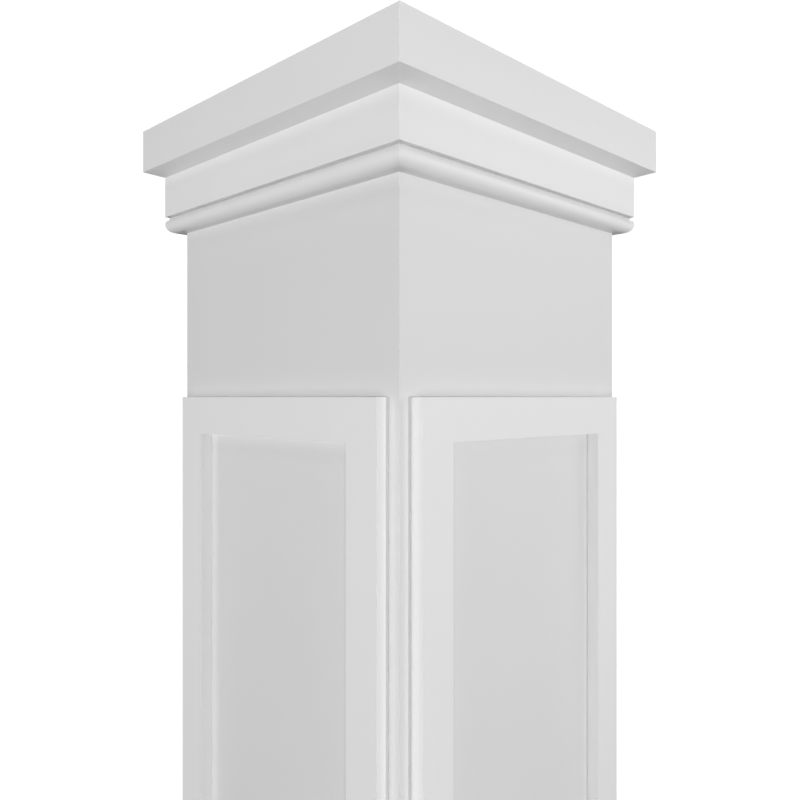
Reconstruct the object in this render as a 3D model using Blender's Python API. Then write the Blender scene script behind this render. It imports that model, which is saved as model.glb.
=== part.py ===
# Square box column with a moulded capital, framed panels on all four faces and a plinth.
#
# The column stands on its underside. The origin is the middle of that underside, +Z is up, and the
# faces look along X and Y. The shaft is a hollow box of four mitred boards, open at both ends for
# the post inside. Each moulding is four mitred lengths round the shaft. Metres throughout.

import bpy
import bmesh
from math import asin, cos, pi, sin
from mathutils import Vector

# Shaft
COLUMN_HEIGHT = 2.4384
SHAFT_WIDTH = 0.244475
SHAFT_BOARD = 0.0127

# Cap slab at the head: a square-edged face, then a soffit that falls towards the band
CAP_PROUD = 0.0254
CAP_FACE = 0.0332
SOFFIT_FALL = 0.0045

# Plain band under the cap
BAND_PROUD = 0.0127
BAND_HEIGHT = 0.0320

# Half-round bead under the band: it reaches as far out as the band and leaves a crease beneath it.
# The trim is what its round lacks on the side that lies against the band.
BEAD_PROUD = 0.0127
BEAD_RADIUS = 0.0068
BEAD_TRIM = 0.0005
BEAD_STEPS = 16

# Plain shaft left between a bead and the panel frames
NECK_HEIGHT = 0.1331

# Panel frames: one on each face, set in from the corners by the reveal
FRAME_PROUD = 0.009525
FRAME_REVEAL = 0.009525
FRAME_WIDTH = 0.0280

# Plinth at the foot: a taller board with the same slope on its top, out to its own overhang
PLINTH_PROUD = 0.0254
PLINTH_FACE = 0.1000
PLINTH_FALL = 0.0045
PLINTH_LEDGE = 0.0127

# Clearances: between a piece and what it is fixed to, and across a mitre
SEAT_GAP = 0.0003
MITRE_GAP = 0.0003

# Reaches, measured from the column's axis to a face
shaft_face = SHAFT_WIDTH / 2
seat_face = shaft_face + SEAT_GAP
mitre_pull = MITRE_GAP / 2 ** 0.5

# Levels, measured up from the underside
cap_arris = COLUMN_HEIGHT - CAP_FACE
band_top = cap_arris - SOFFIT_FALL
band_bottom = band_top - BAND_HEIGHT
bead_height = 2 * BEAD_RADIUS - BEAD_TRIM
frame_top = band_bottom - bead_height - NECK_HEIGHT
plinth_top = PLINTH_FACE + PLINTH_FALL
frame_bottom = plinth_top + bead_height + NECK_HEIGHT

SIDES = ("front", "right", "back", "left")


def clear_scene():
    for thing in list(bpy.data.objects):
        bpy.data.objects.remove(thing, do_unlink=True)


def white_material(name, tone, roughness):
    material = bpy.data.materials.new(name)
    material.use_nodes = True
    shader = material.node_tree.nodes["Principled BSDF"]
    shader.inputs["Base Color"].default_value = (tone, tone, tone, 1.0)
    shader.inputs["Roughness"].default_value = roughness
    shader.inputs["Metallic"].default_value = 0.0
    return material


def mesh_from(builder, name):
    mesh = bpy.data.meshes.new(name)
    bmesh.ops.recalc_face_normals(builder, faces=builder.faces)
    builder.to_mesh(mesh)
    builder.free()
    return mesh


# A mitred length along the front: the section is a list of (reach, level) points. It stands in the
# left mitre plane, is extruded to the right one, and each end point lies at its own reach less the
# mitre's share of the gap.
def mitred_length(name, section):
    builder = bmesh.new()
    corners = []
    for reach, level in section:
        corners.append(builder.verts.new((mitre_pull - reach, -reach, level)))
    start = builder.faces.new(corners)
    grown = bmesh.ops.extrude_face_region(builder, geom=[start], use_keep_orig=True)
    for item in grown["geom"]:
        if isinstance(item, bmesh.types.BMVert):
            item.co.x = -item.co.y - mitre_pull
    return mesh_from(builder, name)


# A frame in one piece: a rectangle on the front face, inset by the frame's width, its middle taken
# out, and the ring that is left extruded to its thickness.
def panel_frame(name):
    half = shaft_face - FRAME_REVEAL
    builder = bmesh.new()
    bottom, top = frame_bottom, frame_top
    outline = []
    for across, level in ((-half, bottom), (half, bottom), (half, top), (-half, top)):
        outline.append(builder.verts.new((across, -seat_face, level)))
    plate = builder.faces.new(outline)
    plate.normal_update()
    bmesh.ops.inset_individual(builder, faces=[plate], thickness=FRAME_WIDTH)
    bmesh.ops.delete(builder, geom=[plate], context="FACES")
    ring = bmesh.ops.extrude_face_region(builder, geom=builder.faces[:], use_keep_orig=True)
    raised = [item for item in ring["geom"] if isinstance(item, bmesh.types.BMVert)]
    bmesh.ops.translate(builder, verts=raised, vec=Vector((0, SEAT_GAP - FRAME_PROUD, 0)))
    return mesh_from(builder, name)


def shaft_section():
    inside = shaft_face - SHAFT_BOARD
    return [(inside, 0), (shaft_face, 0), (shaft_face, COLUMN_HEIGHT), (inside, COLUMN_HEIGHT)]


def cap_section():
    outside = shaft_face + CAP_PROUD
    band_face = shaft_face + BAND_PROUD
    return [
        (seat_face, band_top),
        (band_face, band_top),
        (outside, cap_arris),
        (outside, COLUMN_HEIGHT),
        (seat_face, COLUMN_HEIGHT),
    ]


def band_section():
    face = shaft_face + BAND_PROUD
    top = band_top - SEAT_GAP
    return [(seat_face, band_bottom), (face, band_bottom), (face, top), (seat_face, top)]


# A bead that hangs below a level (way -1) or stands on it (way 1): flat against that level, less the
# gap, round from there to its far side, and flat back to the shaft.
def bead_section(level, way):
    centre_reach = shaft_face + BEAD_PROUD - BEAD_RADIUS
    centre_drop = BEAD_RADIUS - BEAD_TRIM
    start = -asin((centre_drop - SEAT_GAP) / BEAD_RADIUS)
    points = [(seat_face, level + way * SEAT_GAP)]
    for step in range(BEAD_STEPS + 1):
        angle = start + (pi / 2 - start) * step / BEAD_STEPS
        reach = centre_reach + BEAD_RADIUS * cos(angle)
        points.append((reach, level + way * (centre_drop + BEAD_RADIUS * sin(angle))))
    points.append((seat_face, level + way * bead_height))
    return points


def plinth_section():
    outside = shaft_face + PLINTH_PROUD
    ledge = shaft_face + PLINTH_LEDGE
    return [
        (seat_face, 0),
        (outside, 0),
        (outside, PLINTH_FACE),
        (ledge, plinth_top),
        (seat_face, plinth_top),
    ]


# One object on each side, turned in quarter turns about the column's axis and sharing one mesh.
def place_on_all_sides(piece, mesh, material, hub):
    mesh.materials.append(material)
    for index, side in enumerate(SIDES):
        thing = bpy.data.objects.new(piece + "_" + side, mesh)
        thing.rotation_euler = (0, 0, index * pi / 2)
        thing.parent = hub
        bpy.context.scene.collection.objects.link(thing)


def smooth_rounds(mesh):
    mesh.shade_smooth()
    mesh.set_sharp_from_angle(angle=pi / 6)
    return mesh


def build_column():
    clear_scene()
    hub = bpy.data.objects.new("column_axis", None)
    bpy.context.scene.collection.objects.link(hub)
    upper_bead = smooth_rounds(mitred_length("capital_bead", bead_section(band_bottom, -1)))
    lower_bead = smooth_rounds(mitred_length("base_bead", bead_section(plinth_top, 1)))
    pieces = (
        ("shaft_board", mitred_length("shaft_board", shaft_section()), 0.78, 0.50),
        ("panel_frame", panel_frame("panel_frame"), 0.87, 0.45),
        ("cap_board", mitred_length("cap_board", cap_section()), 0.87, 0.45),
        ("capital_band", mitred_length("capital_band", band_section()), 0.87, 0.45),
        ("capital_bead", upper_bead, 0.87, 0.45),
        ("plinth_board", mitred_length("plinth_board", plinth_section()), 0.87, 0.48),
        ("base_bead", lower_bead, 0.87, 0.45),
    )
    for piece, mesh, tone, roughness in pieces:
        place_on_all_sides(piece, mesh, white_material(piece + "_white", tone, roughness), hub)


build_column()
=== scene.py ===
from math import cos, pi, radians, sin, sqrt

import bpy
import numpy as np
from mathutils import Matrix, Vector


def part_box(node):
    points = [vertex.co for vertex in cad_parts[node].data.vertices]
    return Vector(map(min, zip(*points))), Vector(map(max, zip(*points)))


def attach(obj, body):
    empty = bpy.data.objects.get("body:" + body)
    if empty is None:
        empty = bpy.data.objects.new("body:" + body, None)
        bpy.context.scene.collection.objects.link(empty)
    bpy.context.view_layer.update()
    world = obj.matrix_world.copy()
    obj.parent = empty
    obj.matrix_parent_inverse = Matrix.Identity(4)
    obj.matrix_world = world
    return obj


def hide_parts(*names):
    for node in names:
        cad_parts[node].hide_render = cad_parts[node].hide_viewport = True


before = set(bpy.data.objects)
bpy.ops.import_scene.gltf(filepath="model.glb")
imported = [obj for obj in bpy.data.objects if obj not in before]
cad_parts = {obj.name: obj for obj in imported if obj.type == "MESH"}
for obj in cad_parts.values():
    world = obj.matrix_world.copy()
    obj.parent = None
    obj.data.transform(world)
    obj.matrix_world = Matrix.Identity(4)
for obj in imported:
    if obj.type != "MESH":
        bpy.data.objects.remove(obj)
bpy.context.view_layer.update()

# Square box column in white PVC board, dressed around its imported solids.
# Metres, +Z up. The front face looks along -Y, and the photograph sees the corner between
# the front and the left face from the height of the panel frames' top edge.

sides = ("front", "right", "back", "left")      # each a quarter turn on from the one before
print("column: solids loaded,", len(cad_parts), "pieces")

# What every piece shares: how closely the glued joints shut, and how crisp an arris is left
finish = {
    "mitreGap": 0.00004,        # hairline across a glued mitre
    "seatGap": 0.00003,         # behind a moulding
    "arris": 0.00012,           # radius that a sharp sawn edge still has
    "seat": 0.00002,            # radius where a piece is glued against another
    "cornerArris": 0.00012,     # radius where a mitred length meets the next at a corner
    "arrisSteps": 5,
}

# Reaches from the column's axis, read from the solids' own boxes
shaftReach = -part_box("shaft_board_front")[0].y
seatReach = shaftReach + finish["seatGap"]


# A polygon with its corners rounded off: each corner becomes the arc that touches both of its edges,
# centre = corner + bisector * radius / sin(half angle), swept from one touching point to the other.
# Returns the points and, for each stretch to the next point, whether it belongs to a round.
def easeCorners(corners, radius):
    steps = finish["arrisSteps"]
    p = np.asarray(corners, float)
    radii = np.broadcast_to(np.asarray(radius, float), len(p))[:, None]
    back = np.roll(p, 1, 0) - p
    ahead = np.roll(p, -1, 0) - p
    back /= np.linalg.norm(back, axis=1, keepdims=True)
    ahead /= np.linalg.norm(ahead, axis=1, keepdims=True)
    half = np.arccos(np.clip((back * ahead).sum(1, keepdims=True), -1, 1)) / 2
    middle = back + ahead
    middle /= np.linalg.norm(middle, axis=1, keepdims=True)
    centre = p + middle * radii / np.sin(half)
    first = p + back * radii / np.tan(half) - centre
    last = p + ahead * radii / np.tan(half) - centre
    sweep = (pi - 2 * half)[:, None, :]
    t = np.linspace(0, 1, steps + 1)[None, :, None]
    fromFirst = np.sin((1 - t) * sweep) * first[:, None, :]
    toLast = np.sin(t * sweep) * last[:, None, :]
    arc = (fromFirst + toLast) / np.sin(sweep)
    points = (centre[:, None, :] + arc).reshape(-1, 2)
    onRound = np.tile(np.arange(steps + 1) < steps, len(p))
    return points, onRound


# A front piece's points turned by quarter turns about the column's axis: (x, y) goes to
# (c x - s y, s x + c y), where c and s are the cosine and sine of the turn.
def turned(points, quarters):
    c, s = round(cos(quarters * pi / 2)), round(sin(quarters * pi / 2))
    x, y, z = points[..., 0], points[..., 1], points[..., 2]
    return np.stack((c * x - s * y, s * x + c * y, z), -1)


# Metres walked along a row of points, starting at 0, with the way back to the first if it closes.
def walked(points, closed):
    path = np.concatenate((points, points[:1])) if closed else points
    return np.concatenate(([0.0], np.cumsum(np.linalg.norm(np.diff(path, axis=0), axis=1))))


# A grid of points (section rows by path columns) made into one closed mesh. The section closes on
# itself; the path closes too, or else both of its ends get a cap. The u of the map is metres along
# the path and v is metres round the section, and on a cap they are distance from the axis and level.
# Faces are turned outwards by the sign of the volume.
def solidFromGrid(name, points, along, around, smoothRows, closedPath):
    rows, columns = points.shape[:2]
    spans = columns if closedPath else columns - 1
    i, j = np.meshgrid(np.arange(rows), np.arange(spans), indexing="ij")
    nextRow, nextColumn = (i + 1) % rows, (j + 1) % columns
    quads = np.stack((i * columns + j, nextRow * columns + j,
                      nextRow * columns + nextColumn, i * columns + nextColumn), -1).reshape(-1, 4)
    v0, v1 = around[i], around[i + 1]
    u0, u1 = along[j], along[j + 1]
    quadMap = np.stack((np.stack((u0, v0), -1), np.stack((u0, v1), -1),
                        np.stack((u1, v1), -1), np.stack((u1, v0), -1)), -2).reshape(-1, 4, 2)
    flat = points.reshape(-1, 3)
    a, b, c, d = (flat[quads[:, k]] for k in range(4))
    volume = (np.cross(b - a, c - a) * a).sum() + (np.cross(c - a, d - a) * a).sum()
    rowStarts = np.arange(rows) * columns
    ends = [] if closedPath else [rowStarts[::-1], rowStarts + columns - 1]
    if volume < 0:
        quads, quadMap = quads[:, ::-1], quadMap[:, ::-1]
        ends = [end[::-1] for end in ends]
    mesh = bpy.data.meshes.new(name)
    mesh.from_pydata(flat.tolist(), [], quads.tolist() + [end.tolist() for end in ends])
    endMap = [np.stack((np.hypot(flat[end, 0], flat[end, 1]), flat[end, 2]), -1) for end in ends]
    loopMap = np.concatenate([quadMap.reshape(-1, 2)] + endMap)
    layer = mesh.uv_layers.new(name="runMap")
    layer.data.foreach_set("uv", loopMap.astype(np.float32).ravel())
    smooth = np.concatenate((np.repeat(smoothRows, spans), np.zeros(len(ends), bool)))
    mesh.polygons.foreach_set("use_smooth", smooth)
    mesh.update()
    piece = bpy.data.objects.new(name, mesh)
    bpy.context.scene.collection.objects.link(piece)
    return piece


# A mitred length on one side. At section point (reach, level) the path is the front of a rounded
# square: x = side * (reach - r - pull) + r cos(t), y = -(reach - r) + r sin(t), with t from the left
# diagonal at -135 degrees to the front at -90 and on to the right diagonal at -45.
def mitredLength(name, section, smoothRows, quarters):
    r, steps = finish["cornerArris"], finish["arrisSteps"]
    pull = finish["mitreGap"] / sqrt(2)
    t = np.radians(np.concatenate((np.linspace(-135, -90, steps), np.linspace(-90, -45, steps))))
    side = np.repeat((-1.0, 1.0), steps)
    reach, level = section[:, :1], section[:, 1:]
    x = side * (reach - r - pull) + r * np.cos(t)
    y = -(reach - r) + r * np.sin(t)
    points = np.stack((x, y, np.broadcast_to(level, x.shape)), -1)
    along = x[int(np.argmax(section[:, 0]))]
    return solidFromGrid(name, turned(points, quarters), along, walked(section, True), smoothRows, False)


# A frame in one piece. Its section is (inset from the outer edge, lift off the column's axis). At each
# inset the path is a rectangle of that much smaller half sizes with its corners rounded by a hair:
# x = side * (half width - inset - r) + r cos(t), z = middle + side * (half height - inset - r)
# + r sin(t), with t going round through a quarter turn at each corner.
def frameRound(name, section, smoothRows, halfWidth, low, high, quarters):
    r, steps = finish["arris"], finish["arrisSteps"]
    t = np.radians(np.linspace(0, 90, steps)[None, :] + 90 * np.arange(4)[:, None]).ravel()
    sideX = np.repeat((1.0, -1.0, -1.0, 1.0), steps)
    sideZ = np.repeat((1.0, 1.0, -1.0, -1.0), steps)
    inset, lift = section[:, :1], section[:, 1:]
    middle, halfHeight = (low + high) / 2, (high - low) / 2
    x = sideX * (halfWidth - inset - r) + r * np.cos(t)
    z = middle + sideZ * (halfHeight - inset - r) + r * np.sin(t)
    points = np.stack((x, -np.broadcast_to(lift, x.shape), z), -1)
    along, around = walked(points[0], True), walked(section, True)
    return solidFromGrid(name, turned(points, quarters), along, around, smoothRows, True)


# The finish of a plain board, which every piece starts from
boardLook = {
    "tone": (0.88, 0.88, 0.88),
    "shade": (0.865, 0.865, 0.865),     # the tone's dark end
    "toneSpan": (0.35, 0.65),           # pattern heights that give the shade and the tone
    "roughness": (0.42, 0.50),
    "roughnessSpan": (0.3, 0.7),        # pattern heights that give the two roughnesses
    "ior": 1.50,
    "specular": 0.4,
    "lengthwise": 0,                    # 0: the board's length runs along u of the map, 1: along v
    "drawScale": (700.0, 4.0),          # draw lines per metre across the length, and along it
    "drawOctaves": (3.0, 0.55),         # octaves of the noise, and how rough they are
    "drawShare": 0.35,                  # share of the draw lines in tone and gloss; clouds have the rest
    "drawBump": 0.10,
    "drawDepth": 0.00004,
    "cloudScale": 6.0,
    "cloudOctaves": (4.0, 0.6),
    "skinScale": 900.0,
    "skinOctaves": (2.0, 0.5),
    "skinBump": 0.12,
    "skinDepth": 0.00003,
}


# White PVC: tone, gloss and surface all vary a little. Draw lines follow the board's length and lift
# the surface, slow clouds change tone and gloss with them, and a fine skin grain lies over it all.
def pvcFinish(name, look):
    material = bpy.data.materials.new(name)
    material.use_nodes = True
    nodes, links = material.node_tree.nodes, material.node_tree.links
    shader = nodes["Principled BSDF"]
    shader.inputs["Metallic"].default_value = 0.0
    shader.inputs["IOR"].default_value = look["ior"]
    shader.inputs["Specular IOR Level"].default_value = look["specular"]

    def noise(vector, scale, octaves):
        node = nodes.new("ShaderNodeTexNoise")
        node.inputs["Scale"].default_value = scale
        node.inputs["Detail"].default_value = octaves[0]
        node.inputs["Roughness"].default_value = octaves[1]
        links.new(vector, node.inputs["Vector"])
        return node.outputs["Fac"]

    def bump(height, strength, depth):
        node = nodes.new("ShaderNodeBump")
        node.inputs["Strength"].default_value = strength
        node.inputs["Distance"].default_value = depth
        links.new(height, node.inputs["Height"])
        return node

    place = nodes.new("ShaderNodeTexCoord").outputs["Object"]
    board = nodes.new("ShaderNodeUVMap")
    board.uv_map = "runMap"
    stretch = nodes.new("ShaderNodeMapping")
    across, lengthways = look["drawScale"]
    drawStretch = (across, lengthways, 1) if look["lengthwise"] else (lengthways, across, 1)
    stretch.inputs["Scale"].default_value = drawStretch
    links.new(board.outputs["UV"], stretch.inputs["Vector"])
    drawn = noise(stretch.outputs["Vector"], 1.0, look["drawOctaves"])
    cloud = noise(place, look["cloudScale"], look["cloudOctaves"])
    skin = noise(place, look["skinScale"], look["skinOctaves"])

    cloudPart = nodes.new("ShaderNodeMath")
    cloudPart.operation = "MULTIPLY"
    cloudPart.inputs[1].default_value = 1 - look["drawShare"]
    links.new(cloud, cloudPart.inputs[0])
    pattern = nodes.new("ShaderNodeMath")
    pattern.operation = "MULTIPLY_ADD"
    pattern.inputs[1].default_value = look["drawShare"]
    links.new(drawn, pattern.inputs[0])
    links.new(cloudPart.outputs["Value"], pattern.inputs[2])

    toneSpread = nodes.new("ShaderNodeValToRGB")
    for stop, key, height in zip(toneSpread.color_ramp.elements, ("shade", "tone"), look["toneSpan"]):
        stop.position = height
        stop.color = (*look[key], 1)
    links.new(pattern.outputs["Value"], toneSpread.inputs["Fac"])
    links.new(toneSpread.outputs["Color"], shader.inputs["Base Color"])

    gloss = nodes.new("ShaderNodeMapRange")
    gloss.inputs["From Min"].default_value, gloss.inputs["From Max"].default_value = look["roughnessSpan"]
    gloss.inputs["To Min"].default_value, gloss.inputs["To Max"].default_value = look["roughness"]
    links.new(pattern.outputs["Value"], gloss.inputs["Value"])
    links.new(gloss.outputs["Result"], shader.inputs["Roughness"])

    lines = bump(drawn, look["drawBump"], look["drawDepth"])
    grain = bump(skin, look["skinBump"], look["skinDepth"])
    links.new(lines.outputs["Normal"], grain.inputs["Normal"])
    links.new(grain.outputs["Normal"], shader.inputs["Normal"])
    return material


# The scene's own name for a solid: shaft_board_front gives shaftBoardFront.
def ownName(node):
    first, *others = node.split("_")
    return first + "".join(word.capitalize() for word in others)


# One piece on each side of the column, for a kind of solid named as in the record. Each gets its
# material and its body, and the solid that it stands for is hidden.
def onAllSides(kind, material, makeOne, *shape):
    for quarters, side in enumerate(sides):
        node = kind + "_" + side
        piece = makeOne(ownName(node), *shape, quarters)
        piece.data.materials.append(material)
        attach(piece, "root")
        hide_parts(node)


shaftBoard = {
    "look": dict(boardLook, tone=(0.783, 0.783, 0.783), shade=(0.77, 0.77, 0.77), lengthwise=1),
}


def makeShaft():
    low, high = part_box("shaft_board_front")
    inside = -high.y
    corners = [(inside, low.z), (shaftReach, low.z), (shaftReach, high.z), (inside, high.z)]
    section, smoothRows = easeCorners(corners, finish["arris"])
    material = pvcFinish("shaftBoardWhite", shaftBoard["look"])
    onAllSides("shaft_board", material, mitredLength, section, smoothRows)
    print("column: shaft boards done")


panelFrame = {
    "width": 0.0280,            # stiles and rails
    "look": boardLook,
}


def makeFrames():
    low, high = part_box("panel_frame_front")
    width = panelFrame["width"]
    corners = [(0, seatReach), (0, -low.y), (width, -low.y), (width, seatReach)]
    arris, seat = finish["arris"], finish["seat"]
    section, smoothRows = easeCorners(corners, (seat, arris, arris, seat))
    material = pvcFinish("panelFrameWhite", panelFrame["look"])
    onAllSides("panel_frame", material, frameRound, section, smoothRows, high.x, low.z, high.z)
    print("column: panel frames done")


capBoard = {
    "soffitFall": 0.0045,       # the soffit comes down this much on its way in to the band
    "look": boardLook,
}


def makeCap():
    low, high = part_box("cap_board_front")
    bandReach = -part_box("capital_band_front")[0].y
    corners = [
        (seatReach, low.z),
        (bandReach, low.z),
        (-low.y, low.z + capBoard["soffitFall"]),
        (-low.y, high.z),
        (seatReach, high.z),
    ]
    arris, seat = finish["arris"], finish["seat"]
    section, smoothRows = easeCorners(corners, (seat, seat, arris, arris, seat))
    material = pvcFinish("capBoardWhite", capBoard["look"])
    onAllSides("cap_board", material, mitredLength, section, smoothRows)
    print("column: cap done")


capitalBand = {
    "look": boardLook,
}


def makeBand():
    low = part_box("capital_band_front")[0]
    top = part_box("cap_board_front")[0].z - finish["seatGap"]
    corners = [(seatReach, low.z), (-low.y, low.z), (-low.y, top), (seatReach, top)]
    arris, seat = finish["arris"], finish["seat"]
    section, smoothRows = easeCorners(corners, (seat, arris, seat, seat))
    material = pvcFinish("capitalBandWhite", capitalBand["look"])
    onAllSides("capital_band", material, mitredLength, section, smoothRows)
    print("column: band done")


bead = {
    "radius": 0.0068,
    "trim": 0.0005,             # what the round lacks on the side against the band or the plinth
    "roundSteps": 48,
    "look": dict(boardLook, roughness=(0.36, 0.42)),
}


# A bead: flat against the band or the plinth, round from there to its far side, flat back to the
# shaft. reach = centre + radius cos(t), level = edge + way * (radius - trim + radius sin(t)), with t
# from where that level is the edge itself up to 90 degrees.
def beadSection(edge, way, outside):
    r, trim, steps = bead["radius"], bead["trim"], bead["roundSteps"]
    t = np.linspace(-np.arcsin((r - trim) / r), pi / 2, steps + 1)
    roundPart = np.stack((outside - r + r * np.cos(t), edge + way * (r - trim + r * np.sin(t))), -1)
    first = [[seatReach, edge]]
    last = [[seatReach, edge + way * (2 * r - trim)]]
    section = np.concatenate((first, roundPart, last))
    smoothRows = np.zeros(len(section), bool)
    smoothRows[1:-2] = True
    return section, smoothRows


def makeBeads():
    material = pvcFinish("beadWhite", bead["look"])
    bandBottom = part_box("capital_band_front")[0].z - finish["seatGap"]
    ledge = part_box("plinth_board_front")[1].z + finish["seatGap"]
    for kind, edge, way in (("capital_bead", bandBottom, -1), ("base_bead", ledge, 1)):
        outside = -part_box(kind + "_front")[0].y
        section, smoothRows = beadSection(edge, way, outside)
        onAllSides(kind, material, mitredLength, section, smoothRows)
    print("column: beads done")


plinthBoard = {
    "ledge": 0.0127,            # flat top between the shaft and the slope
    "fall": 0.0045,             # drop of the slope to the outer face
    "look": boardLook,
}


def makePlinth():
    low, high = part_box("plinth_board_front")
    corners = [
        (seatReach, low.z),
        (-low.y, low.z),
        (-low.y, high.z - plinthBoard["fall"]),
        (shaftReach + plinthBoard["ledge"], high.z),
        (seatReach, high.z),
    ]
    arris, seat = finish["arris"], finish["seat"]
    section, smoothRows = easeCorners(corners, (seat, arris, arris, arris, seat))
    material = pvcFinish("plinthBoardWhite", plinthBoard["look"])
    onAllSides("plinth_board", material, mitredLength, section, smoothRows)
    print("column: plinth done")


# The photograph's camera: level, facing the corner squarely, as high as the frames' top edge.
camera = {
    "turn": 225,                # degrees round from +X to where it stands
    "fromAxis": 0.63024,
    "focalPixels": 774.7,
    "framePixels": 800.0,
    "axisAt": 399.63,           # pixel column of the column's axis
    "horizonAt": 397.0,         # pixel row of the horizon
    "sensor": 36.0,
    "clipStart": 0.02,
}


def makeCamera():
    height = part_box("panel_frame_front")[1].z
    data = bpy.data.cameras.new("photoCamera")
    data.sensor_width = camera["sensor"]
    data.lens = camera["focalPixels"] / camera["framePixels"] * camera["sensor"]
    data.shift_x = (camera["framePixels"] / 2 - camera["axisAt"]) / camera["framePixels"]
    data.shift_y = (camera["horizonAt"] - camera["framePixels"] / 2) / camera["framePixels"]
    data.clip_start = camera["clipStart"]
    photoCamera = bpy.data.objects.new("photoCamera", data)
    turn = radians(camera["turn"])
    photoCamera.location = (camera["fromAxis"] * cos(turn), camera["fromAxis"] * sin(turn), height)
    photoCamera.rotation_euler = (pi / 2, 0, turn + pi / 2)
    bpy.context.scene.collection.objects.link(photoCamera)
    bpy.context.scene.camera = photoCamera
    print("column: camera at", tuple(round(value, 4) for value in photoCamera.location))


# Soft boxes stand round the column. Each row is a lamp: its angle round the column from the camera's
# side (positive to the right), distance from the axis, level, width, height and watts.
studio = {
    "floorReach": 1.4,
    "floorPoints": 96,
    "floorTone": (0.8, 0.8, 0.8),
    "floorRoughness": 0.8,
    "backdropStrength": 1.1,
    "aimLevel": 2.2,
    "lamps": {
        "keyRight": (55.6, 3.0, 2.12, 0.08, 0.08, 27),
        "keyLeft": (-48.2, 3.0, 2.15, 0.08, 0.08, 18),
        "frontLow": (0, 2.6, 1.5, 0.8, 0.8, 15.5),
        "front": (0, 2.6, 2.2, 0.8, 0.5, 13.5),
        "frontTop": (0, 2.6, 4.8, 0.8, 0.8, 15),
        "left": (-60, 2.6, 2.2, 0.8, 0.5, 7),
        "leftFar": (-30, 2.6, 2.2, 0.3, 0.3, 3.5),
        "rightHigh": (90, 2.6, 2.9, 0.8, 0.8, 8.5),
        "sideRight": (105, 2.6, 2.2, 0.8, 2.0, 9),
        "sideLeft": (-105, 2.6, 2.2, 0.8, 2.0, 5),
        "backRight": (150, 2.6, 3.6, 1.2, 0.8, 38),
        "backLeft": (-150, 2.6, 3.6, 1.2, 0.8, 38),
        "overhead": (0, 0, 4.8, 0.6, 0.6, 10),
    },
}


def makeLamp(name, angle, across, level, width, height, watts):
    turn = radians(camera["turn"] + angle)
    data = bpy.data.lights.new(name, "AREA")
    data.shape = "RECTANGLE"
    data.size, data.size_y = width, height
    data.energy = watts
    lamp = bpy.data.objects.new(name, data)
    lamp.location = (across * cos(turn), across * sin(turn), level)
    aim = Vector((0, 0, studio["aimLevel"])) - lamp.location
    lamp.rotation_euler = aim.to_track_quat("-Z", "Y").to_euler()
    lamp.visible_camera = False
    bpy.context.scene.collection.objects.link(lamp)


# A round floor: its rim is reach * (cos(t), sin(t)) at level 0, with t once round.
def makeFloor():
    t = np.linspace(0, 2 * pi, studio["floorPoints"], endpoint=False)
    rim = np.stack((np.cos(t), np.sin(t), np.zeros(len(t))), -1) * studio["floorReach"]
    mesh = bpy.data.meshes.new("floor")
    mesh.from_pydata(rim.tolist(), [], [list(range(len(t)))])
    floor = bpy.data.objects.new("floor", mesh)
    bpy.context.scene.collection.objects.link(floor)
    paint = bpy.data.materials.new("floorPaint")
    paint.use_nodes = True
    shader = paint.node_tree.nodes["Principled BSDF"]
    shader.inputs["Base Color"].default_value = (*studio["floorTone"], 1)
    shader.inputs["Roughness"].default_value = studio["floorRoughness"]
    mesh.materials.append(paint)


# The camera sees a white backdrop. It throws no light on the column: the lamps alone do.
def makeBackdrop():
    world = bpy.data.worlds.new("studioWhite")
    world.use_nodes = True
    nodes, links = world.node_tree.nodes, world.node_tree.links
    unlit = nodes["Background"]
    unlit.inputs["Strength"].default_value = 0.0
    backdrop = nodes.new("ShaderNodeBackground")
    backdrop.inputs["Color"].default_value = (1, 1, 1, 1)
    backdrop.inputs["Strength"].default_value = studio["backdropStrength"]
    path = nodes.new("ShaderNodeLightPath")
    mix = nodes.new("ShaderNodeMixShader")
    links.new(path.outputs["Is Camera Ray"], mix.inputs["Fac"])
    links.new(unlit.outputs["Background"], mix.inputs[1])
    links.new(backdrop.outputs["Background"], mix.inputs[2])
    links.new(mix.outputs["Shader"], nodes["World Output"].inputs["Surface"])
    bpy.context.scene.world = world
    bpy.context.scene.view_settings.view_transform = "Standard"


def makeStudio():
    makeFloor()
    makeBackdrop()
    for name, settings in studio["lamps"].items():
        makeLamp(name, *settings)
    print("column: studio done,", len(studio["lamps"]), "lamps")


makeShaft()
makeFrames()
makeCap()
makeBand()
makeBeads()
makePlinth()
makeCamera()
makeStudio()
